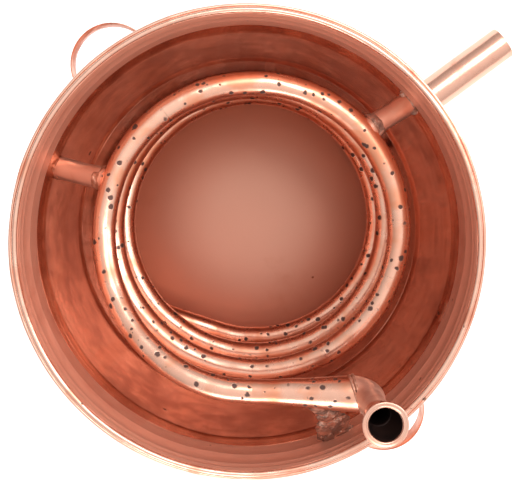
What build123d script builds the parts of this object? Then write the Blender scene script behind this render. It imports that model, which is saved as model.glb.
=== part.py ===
"""Worm tub of a copper alembic still: a tapered tub with a helical condensing worm in it.

Frame: millimetres, +Z up, origin at the centre of the tub's underside, where it stands.
The worm's vapour inlet stands up through the open top towards +X -Y, and the spirit
outlet leaves near the base towards +X +Y.  The tub is filled with cold water in use.
"""
import os
from math import atan2, cos, degrees, pi, radians, sin, sqrt

from build123d import *

# ---- driving dimensions -----------------------------------------------------------
TUB_HEIGHT = 306.0
SHEET = 1.2                     # thickness of the tub's copper sheet
BAND_RADIUS = 163.4             # inside radius of the straight band under the rim
SHOULDER_RADIUS = 158.5         # inside radius at the crest of the upper shoulder
SHOULDER_Z = TUB_HEIGHT - 82.0
SHOULDER_RISE = 8.0             # height of the slope from the crest to the band
STEP_RADIUS = 145.2             # inside radius at the crest of the lower step
STEP_Z = TUB_HEIGHT - 184.6
STEP_OUT = 2.3                  # how far the body stands out over the step
STEP_RISE = 4.0
BASE_RADIUS = 139.0             # inside radius at the base plate

BASE_THICK = 1.5
BASE_FILLET = 3.0
FOOT_HEIGHT = 7.0
FOOT_THICK = 2.0

ROLL_RADIUS = 2.25              # the wired roll round the rim
WIRE_RADIUS = 1.05
HOOP_OUTER = 170.2              # outer radius of the hoop under the roll
HOOP_HEIGHT = 9.0
HOOP_DROP = 1.9                 # top of the hoop below the top of the roll
HOOP_ROUND = 2.2

PIPE_OUTER = 9.0                # radius of the worm's tube
PIPE_WALL = 1.0
WORM_CENTRE = (3.5, 5.7)        # the worm stands a little off the tub's axis
WORM_RADIUS = 113.0
WORM_START_Z = TUB_HEIGHT - 15.0    # centreline where the first turn begins, at -Y
FIRST_DROP = 46.0               # the tube drops this far at once, then runs nearly level
FIRST_DROP_TURN = 0.3
PITCH = 85.0                    # drop per turn once the descent is steady
DESCENT_TURN = 0.4              # the steady descent begins to build here ...
FIRST_TURN = 0.8                # ... and is reached here, where the upper lengths end
LAST_TURN = 3.05
UPPER_LENGTHS = 2               # brazed lengths down to the steady helix ...
LOWER_LENGTHS = 5               # ... and from there to the tail
TAIL_ARC_LENGTHS = 2            # brazed lengths in the tail's wide curve
PATH_POINTS = 21                # points that guide the path of the upper lengths

TAIL_RADIUS = 127.0             # the tail runs round close to the wall
TAIL_BEND = 75.0                # bend between the tail's straight run and that curve
TAIL_TILT_ALONG = 1.5           # degrees, downhill along the tail's first run
TAIL_TILT_ACROSS = 3.5          # degrees, downhill towards the outlet

KNEE = (78.9, -107.7, TUB_HEIGHT - 6.0)    # centre of the inlet's domed knee
KNEE_RADIUS = 14.0
FLARE_START_X = 18.0            # where the inlet tube starts to swell
RISER_FOOT = (86.0, -108.6, TUB_HEIGHT - 2.0)
MOUTH = (92.0, -114.2, TUB_HEIGHT + 62.0)   # centre of the inlet's top face
RISER_LOW_RADIUS = 9.6
RISER_TOP_RADIUS = 9.0
SOCKET_BORE = 11.5
SOCKET_WALL = 1.2
SOCKET_DEPTH = 14.0
NECK_LENGTH = 9.0               # cone between the socket and the riser
LIP_RADIUS = 2.1
SEAM_RADIUS = 1.5               # bead of solder round the knee's seam
SEAM_TURN = 18.0                # the seam's plane is skewed to the tube, degrees

OUTLET_AZIMUTH = 36.4
OUTLET_SHIFT = 4.4              # the outlet's axis passes this far from the tub's axis
OUTLET_RADIUS = 15.5
OUTLET_WALL = 1.2
OUTLET_START = 117.0            # distance of its closed inner end from the tub's axis
OUTLET_END = 294.0
COLLAR_RADIUS = 17.9
COLLAR_LENGTH = 7.0

STRAP_OUTER = 31.5              # outer radius of a handle's half-round loop
STRAP_THICK = 2.2
STRAP_HEIGHT = 22.0
STRAP_Z = TUB_HEIGHT - 70.5                 # lower edge of a handle
STRAP_EAR = 18.0                # half-angle that a handle's soldered ears reach to
HANDLE_AZIMUTHS = {"handle_left": 127.6, "handle_right": -51.4}

STAY_SEAT = 1.2                 # width of the solder round a stay's end
STAY_SEAT_LENGTH = 5.0
SOLDER_GAP = 0.25               # a stay's end stands this far off the worm's tube
# quarter sheets of the body, counter-clockwise; the first is centred on the outlet
QUARTERS = ("north_east", "north_west", "south_west", "south_east")
# each stay: azimuth where it leaves the worm, azimuth on the wall, height on the wall
STAYS = {
    "stay_west": (160.0, 159.8, TUB_HEIGHT - 88.0),
    "stay_north": (42.0, 40.0, TUB_HEIGHT - 80.0),
    "stay_south": (None, -65.2, TUB_HEIGHT - 58.0),     # leaves the inlet length instead
}
STAY_SOUTH_X = 50.0


# ---- helpers ----------------------------------------------------------------------
def turned(outline, arc=360.0, start=0.0):
    """Revolve an outline of (radius, z) points round the tub's axis, through an arc."""
    face = make_face(Polyline(*[(r, 0, z) for r, z in outline], close=True))
    return Rot(0, 0, start) * revolve(face, Axis.Z, revolution_arc=arc)


def torus_at(radius, z, minor):
    """A ring of round section, centred on the tub's axis."""
    return Pos(0, 0, z) * Torus(radius, minor)


def at_azimuth(radius, azimuth, z=0.0, centre=(0.0, 0.0)):
    """The point at a radius and azimuth round a centre."""
    angle = radians(azimuth)
    return Vector(centre[0] + radius * cos(angle), centre[1] + radius * sin(angle), z)


def rod(start, end, radius, end_radius=None):
    """A straight round bar or cone from one point to another."""
    along = end - start
    plane = Plane(origin=start, z_dir=along)
    top = radius if end_radius is None else end_radius
    middle = plane * Pos(0, 0, along.length / 2)
    if abs(top - radius) < 1e-6:
        return middle * Cylinder(radius, along.length)
    return middle * Cone(radius, top, along.length)


# ---- the tub ----------------------------------------------------------------------
def wall_radius(z):
    """Inside radius of the tub's wall at a height."""
    step_top = STEP_Z + STEP_RISE
    shoulder_top = SHOULDER_Z + SHOULDER_RISE
    knots = [(0.0, BASE_RADIUS), (STEP_Z, STEP_RADIUS),
             (step_top, STEP_RADIUS + STEP_OUT), (SHOULDER_Z, SHOULDER_RADIUS),
             (shoulder_top, BAND_RADIUS), (TUB_HEIGHT, BAND_RADIUS)]
    for (z0, r0), (z1, r1) in zip(knots, knots[1:]):
        if z <= z1:
            return r0 + (r1 - r0) * (z - z0) / (z1 - z0)
    return BAND_RADIUS


def sheet_between(heights, arc=360.0, start=0.0):
    """A wall of sheet thickness that follows the tub through the given heights."""
    inner = [(wall_radius(z), z) for z in heights]
    outer = [(wall_radius(z) + SHEET, z) for z in reversed(heights)]
    return turned(inner + outer, arc, start)


def quarter_sheets(name, heights):
    """A wall made of four quarter sheets that are brazed edge to edge."""
    arc = 360.0 / len(QUARTERS)
    first = OUTLET_AZIMUTH - arc / 2
    return {f"{name}_{side}": sheet_between(heights, arc, first + arc * index)
            for index, side in enumerate(QUARTERS)}


def tub_space():
    """The whole space inside the tub's walls, from the base plate up past the rim."""
    heights = [0.0, STEP_Z, STEP_Z + STEP_RISE, SHOULDER_Z, SHOULDER_Z + SHOULDER_RISE]
    outline = [(0, 0)] + [(wall_radius(z), z) for z in heights]
    top = TUB_HEIGHT + 100
    return turned(outline + [(BAND_RADIUS, top), (0, top)])


def base_plate():
    """The flat base, let into the foot of the wall."""
    edge = wall_radius(BASE_THICK)
    return turned([(0, 0), (BASE_RADIUS, 0), (edge, BASE_THICK), (0, BASE_THICK)])


def base_solder():
    """The fillet of solder that seals the base plate to the wall."""
    foot = wall_radius(BASE_THICK)
    top = wall_radius(BASE_THICK + BASE_FILLET)
    return turned([(foot - BASE_FILLET, BASE_THICK), (foot, BASE_THICK),
                   (top, BASE_THICK + BASE_FILLET)])


def foot_ring():
    """The hoop round the tub's foot, flush with the base."""
    inner_low = wall_radius(0) + SHEET
    inner_high = wall_radius(FOOT_HEIGHT) + SHEET
    outer = inner_high + FOOT_THICK
    return turned([(inner_low, 0), (outer - 0.6, 0), (outer, 0.6), (outer, FOOT_HEIGHT - 0.6),
                   (outer - 0.6, FOOT_HEIGHT), (inner_high, FOOT_HEIGHT)])


def rim_pieces():
    """The straight band, the roll over its top edge, the wire in the roll and the hoop."""
    roll_middle = BAND_RADIUS + ROLL_RADIUS
    roll_z = TUB_HEIGHT - ROLL_RADIUS
    roll_solid = torus_at(roll_middle, roll_z, ROLL_RADIUS)
    wire = torus_at(roll_middle, roll_z, WIRE_RADIUS)
    band = sheet_between([SHOULDER_Z + SHOULDER_RISE, roll_z]) - roll_solid
    hoop_top = TUB_HEIGHT - HOOP_DROP
    hoop_low = hoop_top - HOOP_HEIGHT
    inner = BAND_RADIUS + SHEET
    hoop = turned([(inner, hoop_low), (HOOP_OUTER - 1.0, hoop_low), (HOOP_OUTER, hoop_low + 1.0),
                   (HOOP_OUTER, hoop_top - HOOP_ROUND), (HOOP_OUTER - 0.65, hoop_top - 0.65),
                   (HOOP_OUTER - HOOP_ROUND, hoop_top), (inner, hoop_top)])
    return {
        "upper_band": band,
        "rim_roll": roll_solid - wire,
        "rim_wire": wire,
        "rim_hoop": hoop - roll_solid,
    }


def shoulder_solder():
    """The bead outside, where the band is joined to the tapered body."""
    z = SHOULDER_Z + SHOULDER_RISE
    edge = BAND_RADIUS + SHEET
    return turned([(edge, z - 0.4), (edge + 1.0, z + 0.4), (edge + 1.0, z + 2.0), (edge, z + 3.0)])


# ---- the worm ---------------------------------------------------------------------
def turn_height(turn):
    """Height of the worm's centreline after a number of turns from the top."""
    share = min(turn / FIRST_DROP_TURN, 1.0)
    drop = FIRST_DROP * (1 - cos(share * pi)) / 2
    build_up = FIRST_TURN - DESCENT_TURN
    if turn > FIRST_TURN:
        drop += PITCH * (turn - DESCENT_TURN - build_up / 2)
    elif turn > DESCENT_TURN:
        drop += PITCH * (turn - DESCENT_TURN) ** 2 / (2 * build_up)
    return WORM_START_Z - drop


def turn_azimuth(turn):
    """The worm goes down clockwise, seen from above, from its start at -Y."""
    return -90.0 - 360.0 * turn


def turn_of_azimuth(azimuth):
    """Where the first turn passes an azimuth round the worm's own centre."""
    return ((-90.0 - azimuth) % 360.0) / 360.0


def worm_point(turn):
    return at_azimuth(WORM_RADIUS, turn_azimuth(turn), turn_height(turn), WORM_CENTRE)


def upper_length(turn_from, turn_to, radius):
    """A solid bar along the worm between two turns where its slope still changes."""
    step = FIRST_TURN / (PATH_POINTS - 1)
    whole = Spline(*[worm_point(step * index) for index in range(PATH_POINTS)])
    path = whole.trim(turn_from / FIRST_TURN, turn_to / FIRST_TURN)
    section = Plane(origin=path @ 0, z_dir=path % 0) * Circle(radius)
    return sweep(section, path=path)


def lower_length(turn_from, turn_to, radius):
    """A solid bar along the worm's steady helix between two turns."""
    height = turn_height(turn_from) - turn_height(turn_to)
    helix = Helix(PITCH, height, WORM_RADIUS)
    section = Plane(origin=helix @ 0, z_dir=helix % 0) * Circle(radius)
    bar = sweep(section, path=helix, is_frenet=True)
    place = Pos(WORM_CENTRE[0], WORM_CENTRE[1], turn_height(turn_to))
    return place * Rot(0, 0, turn_azimuth(turn_to)) * bar


def worm_lengths():
    """The coil, as brazed lengths of tube numbered from the top."""
    made = {}
    runs = [(upper_length, 0.0, FIRST_TURN, UPPER_LENGTHS),
            (lower_length, FIRST_TURN, LAST_TURN, LOWER_LENGTHS)]
    for bar, first, last, count in runs:
        step = (last - first) / count
        for index in range(count):
            start = first + step * index
            outside = bar(start, start + step, PIPE_OUTER)
            bore = bar(start, start + step, PIPE_OUTER - PIPE_WALL)
            made[f"worm_length_{len(made) + 1}"] = outside - bore
    made["worm_length_1"] -= inlet_bar(PIPE_OUTER, KNEE_RADIUS)
    return made


def tail_plane():
    """The tilted plane the tail lies in: x along its first run, y towards the tub's axis."""
    start = worm_point(LAST_TURN)
    azimuth = turn_azimuth(LAST_TURN)
    along = Vector(sin(radians(azimuth)), -cos(radians(azimuth)), 0)
    across = Vector(along.Y, -along.X, 0)
    along = Vector(along.X, along.Y, -sin(radians(TAIL_TILT_ALONG)))
    across = Vector(across.X, across.Y, -sin(radians(TAIL_TILT_ACROSS)))
    return Plane(origin=start, x_dir=along, z_dir=along.cross(across))


def tail_paths():
    """A straight run with its bend, then the wide curve that follows the wall to the outlet."""
    plane = tail_plane()
    axis_point = plane.to_local_coords(Vector(0, 0, worm_point(LAST_TURN).Z))
    reach = axis_point.Y
    run_squared = (TAIL_RADIUS - TAIL_BEND) ** 2 - (reach - TAIL_BEND) ** 2
    run = axis_point.X + sqrt(run_squared)
    bend_centre = Vector(run, TAIL_BEND)
    towards = atan2(bend_centre.Y - reach, bend_centre.X - axis_point.X)
    bend_end = Vector(axis_point.X + TAIL_RADIUS * cos(towards), reach + TAIL_RADIUS * sin(towards))
    outlet_local = plane.to_local_coords(at_azimuth(TAIL_RADIUS, OUTLET_AZIMUTH, worm_point(LAST_TURN).Z))
    last = atan2(outlet_local.Y - reach, outlet_local.X - axis_point.X)
    sweep_angle = (degrees(last - towards)) % 360.0
    straight = Line((0, 0), (run, 0))
    bend_angle = degrees(towards) + 90.0
    bend = CenterArc(bend_centre, TAIL_BEND, -90, bend_angle)
    arc = sweep_angle / TAIL_ARC_LENGTHS
    curves = [CenterArc((axis_point.X, reach), TAIL_RADIUS, degrees(towards) + arc * index, arc)
              for index in range(TAIL_ARC_LENGTHS)]
    return [plane * Wire([straight, bend])] + [plane * Wire([curve]) for curve in curves]


def bar_along(path, radius):
    section = Plane(origin=path @ 0, z_dir=path % 0) * Circle(radius)
    return sweep(section, path=path)


def tail_lengths(outlet):
    """The tail as brazed lengths of tube; the last one ends in the outlet pipe."""
    made = {}
    for index, path in enumerate(tail_paths()):
        tube = bar_along(path, PIPE_OUTER) - bar_along(path, PIPE_OUTER - PIPE_WALL) - outlet
        made[f"worm_tail_{index + 1}"] = largest(tube)
    return made


# ---- the inlet --------------------------------------------------------------------
def inlet_bar(radius, knee_radius):
    """The straight inlet length, which swells from the worm's size to the knee's."""
    start = worm_point(0)
    knee = Vector(*KNEE)
    share = (FLARE_START_X - start.X) / (knee.X - start.X)
    swell = start + (knee - start) * share
    return rod(start, swell, radius) + rod(swell, knee, radius, knee_radius)


def seam_plane():
    """The skewed upright plane where the inlet length meets the knee."""
    return Plane(origin=Vector(*KNEE), z_dir=(cos(radians(SEAM_TURN)), sin(radians(SEAM_TURN)), 0))


def halves_beyond(shape, plane):
    """The part of a shape on the side that the plane faces."""
    return split(shape, bisect_by=plane, keep=Keep.TOP)


def halves_before(shape, plane):
    return split(shape, bisect_by=plane, keep=Keep.BOTTOM)


def inlet_outside():
    """The inlet length as a solid bar, cut off at the knee's seam."""
    bar = inlet_bar(PIPE_OUTER, KNEE_RADIUS) + Pos(*KNEE) * Sphere(KNEE_RADIUS)
    return halves_before(bar, seam_plane())


def inlet_tube():
    space = inlet_bar(PIPE_OUTER - PIPE_WALL, KNEE_RADIUS - PIPE_WALL)
    space += Pos(*KNEE) * Sphere(KNEE_RADIUS - PIPE_WALL)
    return inlet_outside() - halves_before(space, seam_plane())


def riser_bar(thinner):
    """The leaning riser's outside, or its bore when made thinner by the wall."""
    foot = Vector(*RISER_FOOT)
    neck = riser_neck()
    return rod(foot, neck, RISER_LOW_RADIUS - thinner, RISER_TOP_RADIUS - thinner)


def riser_neck():
    """The point where the riser ends and the cone under the socket begins."""
    foot = Vector(*RISER_FOOT)
    mouth = Vector(*MOUTH)
    length = (mouth - foot).length
    return foot + (mouth - foot) * ((length - SOCKET_DEPTH - NECK_LENGTH) / length)


def knee_and_riser():
    """The domed knee in one piece with the leaning riser."""
    dome = halves_beyond(Pos(*KNEE) * Sphere(KNEE_RADIUS), seam_plane())
    dome_space = halves_beyond(Pos(*KNEE) * Sphere(KNEE_RADIUS - PIPE_WALL), seam_plane())
    return (dome + riser_bar(0.0)) - dome_space - riser_bar(PIPE_WALL) - inlet_outside()


def seam_bead():
    """The bead of solder round the knee's seam."""
    bead = seam_plane() * Torus(KNEE_RADIUS, SEAM_RADIUS)
    return bead - Pos(*KNEE) * Sphere(KNEE_RADIUS) - inlet_bar(PIPE_OUTER, KNEE_RADIUS) - riser_bar(0.0)


def inlet_socket():
    """The upright socket that takes the still head's pipe, with its cone down to the riser."""
    mouth = Vector(*MOUTH)
    bottom = Vector(mouth.X, mouth.Y, mouth.Z - SOCKET_DEPTH)
    neck = riser_neck()
    outer = SOCKET_BORE + SOCKET_WALL
    cup = rod(bottom, mouth, outer) - rod(bottom, mouth, SOCKET_BORE)
    cone_out = loft([Plane(origin=neck, z_dir=(0, 0, 1)) * Circle(RISER_TOP_RADIUS + 0.6),
                     Plane(origin=bottom, z_dir=(0, 0, 1)) * Circle(outer)])
    cone_in = loft([Plane(origin=neck, z_dir=(0, 0, 1)) * Circle(RISER_TOP_RADIUS - PIPE_WALL),
                    Plane(origin=bottom, z_dir=(0, 0, 1)) * Circle(SOCKET_BORE)])
    return cup + (cone_out - cone_in - riser_bar(0.0))


def inlet_lip():
    """The rolled ring round the socket's mouth."""
    mouth = Vector(*MOUTH)
    middle = SOCKET_BORE + LIP_RADIUS
    ring = Pos(mouth.X, mouth.Y, mouth.Z) * Torus(middle, LIP_RADIUS)
    return ring - rod(Vector(mouth.X, mouth.Y, mouth.Z - SOCKET_DEPTH), mouth, SOCKET_BORE + SOCKET_WALL)


# ---- the outlet -------------------------------------------------------------------
def outlet_line(distance):
    """A point on the outlet's axis, by its distance along it from the tub's axis."""
    angle = radians(OUTLET_AZIMUTH)
    height = (tail_paths()[-1] @ 1).Z
    side = Vector(sin(angle), -cos(angle), 0) * OUTLET_SHIFT
    return Vector(distance * cos(angle), distance * sin(angle), height) + side


def outlet_pipe(tail_bore):
    """The wide pipe that lets the spirit out, closed at its inner end."""
    outside = rod(outlet_line(OUTLET_START), outlet_line(OUTLET_END), OUTLET_RADIUS)
    bore_start = outlet_line(OUTLET_START + OUTLET_WALL)
    inside = rod(bore_start, outlet_line(OUTLET_END), OUTLET_RADIUS - OUTLET_WALL)
    return outside - inside - tail_bore


def outlet_collar(wall_outside):
    """The flange outside the tub that carries the outlet pipe."""
    radius = wall_radius((tail_paths()[-1] @ 1).Z) + SHEET
    start = outlet_line(radius - 8)
    end = outlet_line(radius + COLLAR_LENGTH)
    disc = rod(start, end, COLLAR_RADIUS)
    disc += rod(end, outlet_line(radius + 2 * COLLAR_LENGTH), OUTLET_RADIUS + 2.2)
    pipe = rod(outlet_line(0), outlet_line(OUTLET_END), OUTLET_RADIUS)
    return disc - pipe - wall_outside


def outlet_solder(space):
    """The fillet of solder round the outlet pipe inside the tub."""
    radius = wall_radius((tail_paths()[-1] @ 1).Z)
    fillet = rod(outlet_line(radius - 4), outlet_line(radius + 4), OUTLET_RADIUS + 0.3, OUTLET_RADIUS + 6)
    pipe = rod(outlet_line(0), outlet_line(OUTLET_END), OUTLET_RADIUS)
    return (fillet - pipe) & space


# ---- handles ----------------------------------------------------------------------
def handle(azimuth):
    """A half-round strap with two ears that lie on the band."""
    band_outer = BAND_RADIUS + SHEET
    centre = band_outer + STRAP_THICK / 2
    loop = Circle(STRAP_OUTER) - Circle(STRAP_OUTER - STRAP_THICK)
    loop = Pos(centre, 0) * loop
    outside = Circle(centre + STRAP_OUTER * 2) - Circle(band_outer)
    ears = Circle(band_outer + STRAP_THICK) - Circle(band_outer)
    gap = degrees((STRAP_OUTER - STRAP_THICK) / centre)
    reach = 2 * centre
    wide = Polyline((0, 0), at_azimuth(reach, -STRAP_EAR), at_azimuth(reach, STRAP_EAR), close=True)
    narrow = Polyline((0, 0), at_azimuth(reach, -gap), at_azimuth(reach, gap), close=True)
    ears = (ears & make_face(wide)) - make_face(narrow)
    profile = (loop & outside) + ears
    return Rot(0, 0, azimuth) * Pos(0, 0, STRAP_Z) * extrude(profile, STRAP_HEIGHT)


def handle_solder():
    """The beads of solder along the ends of the handles' ears."""
    band_outer = BAND_RADIUS + SHEET
    beads = []
    for azimuth in HANDLE_AZIMUTHS.values():
        for side in (-1, 1):
            place = at_azimuth(band_outer, azimuth + side * (STRAP_EAR + 0.4), STRAP_Z + STRAP_HEIGHT / 2)
            bead = Pos(place) * Cylinder(1.6, STRAP_HEIGHT - 1)
            beads.append(bead - Pos(0, 0, STRAP_Z) * Cylinder(band_outer, 3 * STRAP_HEIGHT))
    bodies = [handle(azimuth) for azimuth in HANDLE_AZIMUTHS.values()]
    return Compound([solid for bead in beads for solid in (bead - bodies[0] - bodies[1]).solids()])


# ---- stays ------------------------------------------------------------------------
def stay_ends(name):
    """Where a stay starts on the worm's centreline and ends in the wall."""
    worm_azimuth, wall_azimuth, wall_z = STAYS[name]
    end = at_azimuth(wall_radius(wall_z) + 12, wall_azimuth, wall_z)
    if worm_azimuth is None:
        share = (STAY_SOUTH_X - worm_point(0).X) / (KNEE[0] - worm_point(0).X)
        return worm_point(0) + (Vector(*KNEE) - worm_point(0)) * share, end
    return worm_point(turn_of_azimuth(worm_azimuth)), end


def worm_beside(name):
    """The piece of worm that a stay is soldered to, as a straight bar."""
    if STAYS[name][0] is None:
        return inlet_bar(PIPE_OUTER, KNEE_RADIUS)
    turn = turn_of_azimuth(STAYS[name][0])
    before = worm_point(turn - 0.01)
    after = worm_point(turn + 0.01)
    along = (after - before).normalized() * 4 * PIPE_OUTER
    return rod(worm_point(turn) - along, worm_point(turn) + along, PIPE_OUTER + SOLDER_GAP)


def largest(shape):
    return sorted(shape.solids(), key=lambda solid: -solid.volume)[0]


def stay(name, space):
    start, end = stay_ends(name)
    tube = rod(start, end, PIPE_OUTER) - rod(start, end, PIPE_OUTER - PIPE_WALL)
    return largest((tube - worm_beside(name)) & space)


def stay_seats(at_wall, space):
    """Rings of solder round the stays, at the worm or at the wall."""
    rings = []
    for name in STAYS:
        start, end = stay_ends(name)
        along = (end - start).normalized()
        tube = rod(start, end, PIPE_OUTER)
        if at_wall:
            foot = end - along * (12 + STAY_SEAT_LENGTH)
            ring = rod(foot, end, PIPE_OUTER + 0.4, PIPE_OUTER + STAY_SEAT * 3)
        else:
            tip = start + along * (PIPE_OUTER + STAY_SEAT_LENGTH)
            ring = rod(start, tip, PIPE_OUTER + STAY_SEAT * 2, PIPE_OUTER + 0.4)
        rings.append(largest((ring - tube - worm_beside(name)) & space))
    return Compound(rings)


# ---- everything -------------------------------------------------------------------
def make_parts():
    space = tub_space()
    parts = rim_pieces()
    parts.update(worm_lengths())
    parts["worm_inlet_length"] = inlet_tube()
    parts["inlet_knee"] = knee_and_riser()
    parts["inlet_seam_solder"] = seam_bead()
    parts["inlet_socket"] = inlet_socket()
    parts["inlet_lip"] = inlet_lip()

    outlet_outside = rod(outlet_line(0), outlet_line(OUTLET_END), OUTLET_RADIUS)
    near_outlet = rod(outlet_line(OUTLET_START), outlet_line(OUTLET_END), OUTLET_RADIUS)
    parts.update(tail_lengths(near_outlet))
    parts["outlet_pipe"] = outlet_pipe(bar_along(tail_paths()[-1], PIPE_OUTER - PIPE_WALL))
    parts.update(quarter_sheets("lower_wall", [0.0, STEP_Z]))
    parts["lower_wall_north_east"] -= outlet_outside
    parts.update(quarter_sheets("tapered_wall", [STEP_Z, STEP_Z + STEP_RISE, SHOULDER_Z,
                                                 SHOULDER_Z + SHOULDER_RISE]))
    wall_outside = turned([(0, 0), (BASE_RADIUS + SHEET, 0), (STEP_RADIUS + SHEET, STEP_Z), (0, STEP_Z)])
    parts["outlet_collar"] = outlet_collar(wall_outside)
    parts["outlet_solder"] = outlet_solder(space)
    parts["base_plate"] = base_plate()
    parts["base_solder"] = base_solder()
    parts["foot_ring"] = foot_ring()
    parts["shoulder_solder"] = shoulder_solder()
    for name, azimuth in HANDLE_AZIMUTHS.items():
        parts[name] = handle(azimuth)
    parts["handle_solder"] = handle_solder()
    for name in STAYS:
        parts[name] = stay(name, space)
    parts["stay_solder_at_worm"] = stay_seats(False, space)
    parts["stay_solder_at_wall"] = stay_seats(True, space)
    return parts


os.makedirs("parts", exist_ok=True)
for node, shape in make_parts().items():
    export_step(shape, f"parts/{node}.step")
    print(node, round(shape.volume), "mm3")
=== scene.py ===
# %% [markdown]
# # The worm tub of a copper still
# This lesson dresses a finished frame: an open copper tub with a coiled tube, the worm, in it.
# The frame already has every size and place, so each piece here is built to the frame's numbers
# and then given the finish of old, hand-worked copper. Lengths are in metres, with Z up.
# %% Load the frame
from math import atan2, cos, hypot, pi, radians, sin

import bmesh
import bpy
from mathutils import Matrix, Vector, noise


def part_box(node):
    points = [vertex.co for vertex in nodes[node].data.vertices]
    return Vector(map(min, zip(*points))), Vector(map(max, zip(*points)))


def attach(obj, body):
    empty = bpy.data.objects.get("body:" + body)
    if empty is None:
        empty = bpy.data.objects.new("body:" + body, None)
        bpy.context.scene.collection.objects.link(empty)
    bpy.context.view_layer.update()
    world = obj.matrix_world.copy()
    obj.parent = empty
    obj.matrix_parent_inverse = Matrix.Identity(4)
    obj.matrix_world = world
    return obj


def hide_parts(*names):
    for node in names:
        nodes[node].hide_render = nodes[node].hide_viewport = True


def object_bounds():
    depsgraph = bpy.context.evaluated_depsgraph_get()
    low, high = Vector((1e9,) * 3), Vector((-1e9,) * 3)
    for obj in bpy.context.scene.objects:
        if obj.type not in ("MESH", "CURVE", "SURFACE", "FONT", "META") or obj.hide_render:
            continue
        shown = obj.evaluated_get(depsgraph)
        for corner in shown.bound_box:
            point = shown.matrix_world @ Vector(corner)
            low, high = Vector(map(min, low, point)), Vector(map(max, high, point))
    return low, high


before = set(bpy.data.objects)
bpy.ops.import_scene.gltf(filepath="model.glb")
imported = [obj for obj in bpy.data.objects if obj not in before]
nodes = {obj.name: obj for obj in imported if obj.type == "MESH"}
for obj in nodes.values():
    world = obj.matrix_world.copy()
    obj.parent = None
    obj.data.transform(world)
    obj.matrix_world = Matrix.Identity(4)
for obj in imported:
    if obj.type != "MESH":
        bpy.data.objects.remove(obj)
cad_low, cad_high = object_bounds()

MM = 0.001
UP = Vector((0, 0, 1))
scene = bpy.context.scene
print(len(nodes), "nodes in the frame, box", tuple(cad_low), tuple(cad_high))

# %% [markdown]
# ## Camera
# The tub is looked into from a step ladder: the lens is almost straight above it and tips over by
# a few degrees, so the far wall shows a little more than the near one. A long lens keeps the
# rim round. Placing it by two points, where it stands and what it looks at, is easy to adjust.
# %% Camera above the tub
RIM_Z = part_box("rim_roll")[1].z
CAMERA_RISE = 0.800
LOOK_AT = Vector((0.0062, 0.0015, RIM_Z))
CAMERA_FROM = Vector((0.0065, 0.0618, RIM_Z + CAMERA_RISE))
lens = bpy.data.cameras.new("ladder_lens")
lens.lens = 79.6
lens.sensor_width = 36.0
lens.clip_start = 0.05
camera = bpy.data.objects.new("ladder_camera", lens)
scene.collection.objects.link(camera)
backwards = (CAMERA_FROM - LOOK_AT).normalized()
sideways = Vector((0, 1, 0)).cross(backwards).normalized()
facing = Matrix((sideways, backwards.cross(sideways), backwards)).transposed()
camera.matrix_world = Matrix.Translation(CAMERA_FROM) @ facing.to_4x4()
scene.camera = camera
print("camera stands", round(CAMERA_RISE, 3), "m above the rim")

# %% [markdown]
# ## Light
# Polished copper shows little but what it mirrors, so the light is mostly a picture for it to
# reflect: one broad soft panel overhead, a paler sky round it and a dimmer horizon. A world
# whose brightness follows the height of the ray does that with four nodes.
# %% Sky with a bright top
def sky(horizon, zenith, towards_right):
    world = bpy.data.worlds.new("studio_sky")
    scene.world = world
    world.use_nodes = True
    tree = world.node_tree
    where = tree.nodes.new("ShaderNodeTexCoord")
    height = tree.nodes.new("ShaderNodeSeparateXYZ")
    ramp = tree.nodes.new("ShaderNodeMapRange")
    ramp.inputs["From Min"].default_value = -0.2
    ramp.inputs["From Max"].default_value = 1.0
    ramp.inputs["To Min"].default_value = horizon
    ramp.inputs["To Max"].default_value = zenith
    tree.links.new(where.outputs["Generated"], height.inputs[0])
    tree.links.new(height.outputs["Z"], ramp.inputs["Value"])
    sideways = tree.nodes.new("ShaderNodeMath")
    sideways.operation = "MULTIPLY_ADD"
    sideways.inputs[1].default_value = towards_right
    tree.links.new(height.outputs["X"], sideways.inputs[0])
    tree.links.new(ramp.outputs[0], sideways.inputs[2])
    tree.links.new(sideways.outputs[0], tree.nodes["Background"].inputs["Strength"])
    tree.nodes["Background"].inputs["Color"].default_value = (1.0, 0.985, 0.97, 1)


def panel(name, place, aim, width, height, watts):
    light = bpy.data.lights.new(name, "AREA")
    light.shape = "RECTANGLE"
    light.size = width
    light.size_y = height
    light.energy = watts
    lamp = bpy.data.objects.new(name, light)
    lamp.location = place
    lamp.rotation_euler = (Vector(aim) - Vector(place)).to_track_quat("-Z", "Y").to_euler()
    scene.collection.objects.link(lamp)
    return lamp


scene.view_settings.view_transform = "Standard"
sky(0.26, 1.08, 0.22)
panel("panel_top", (0.5, 0.8, 2.1), (0, 0, 0.2), 1.3, 1.0, 16)
panel("panel_right", (1.7, 0.9, 1.2), (-0.1, -0.1, 0.2), 0.7, 1.2, 10)
panel("panel_near", (-0.3, -1.5, 0.75), (0, 0.1, 0.27), 0.9, 0.7, 8)
print("three panels and a sky")

# %% [markdown]
# ## Floor
# The tub stands on pale paper. The paper only has to be clean and bright, so it is a large sheet,
# raised very slightly far away, as a studio sweep is.
# %% Paper floor
def floor_material():
    paper = bpy.data.materials.new("pale_paper")
    paper.use_nodes = True
    shader = paper.node_tree.nodes["Principled BSDF"]
    shader.inputs["Base Color"].default_value = (0.92, 0.92, 0.92, 1)
    shader.inputs["Roughness"].default_value = 0.9
    shader.inputs["Emission Color"].default_value = (1, 1, 1, 1)
    shader.inputs["Emission Strength"].default_value = 0.45
    return paper


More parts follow.
